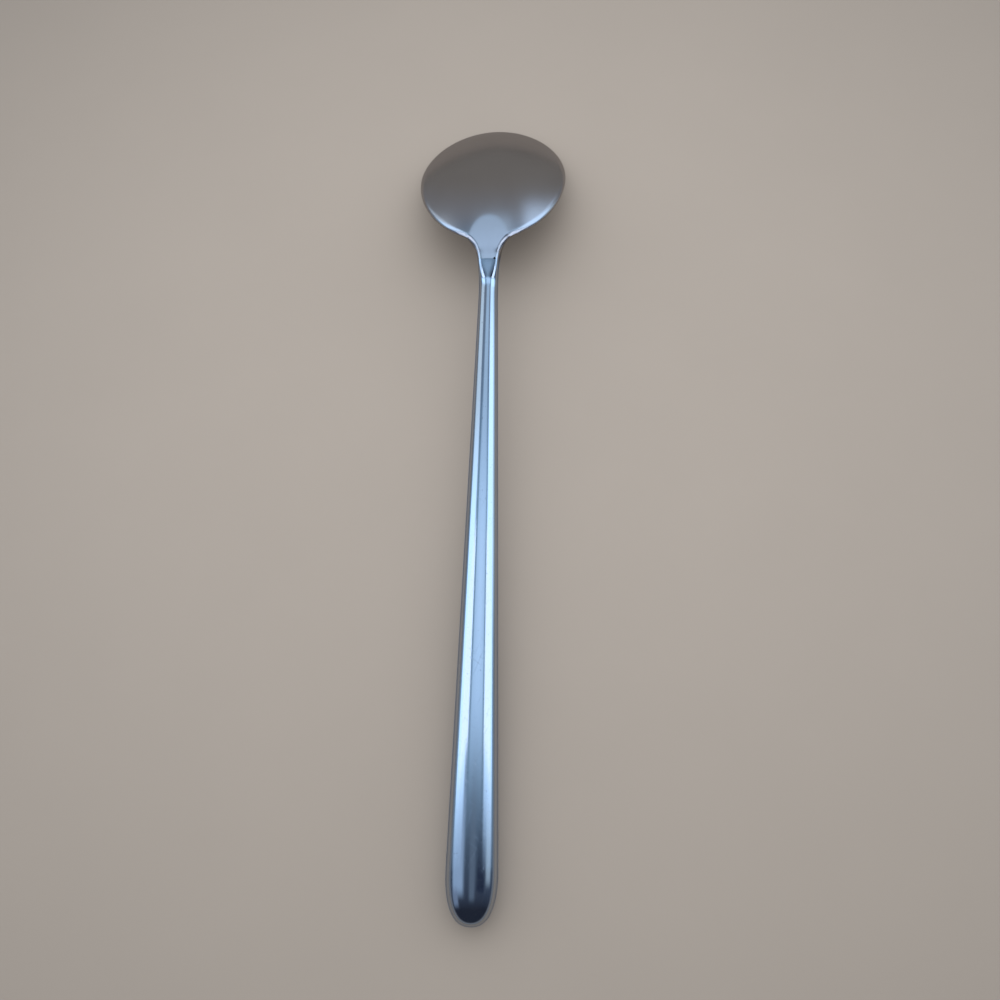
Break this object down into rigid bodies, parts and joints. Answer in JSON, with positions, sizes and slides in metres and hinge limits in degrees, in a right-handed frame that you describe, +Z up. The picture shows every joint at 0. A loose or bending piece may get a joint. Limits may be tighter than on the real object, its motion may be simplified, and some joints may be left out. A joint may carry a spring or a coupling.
{
  "type": "table spoon",
  "caption": "Long-handled steel table spoon lying face down: a pressed oval bowl on a slim bent neck, welded to a hollow oval handle that swells to a domed end.",
  "frame": {"origin": "middle of the bounding box's base, on the surface that the spoon lies on", "axes": "+Y from the handle end to the bowl tip, +X to the right as the picture shows it, +Z up, which is the way the spoon's back faces"},
  "size_m": [0.041, 0.2188, 0.0161],
  "materials": {
    "bowl_steel": "satin, finely brushed",
    "handle_steel": "mirror polished, with hairline scratches",
    "weld_steel": "ground flush and polished"
  },
  "bodies": {
    "root": {"bowl": "bowl_steel", "neck_weld": "weld_steel", "handle_back_shell": "handle_steel", "handle_front_shell": "handle_steel", "seam_weld": "weld_steel"}
  },
  "joints": []
}
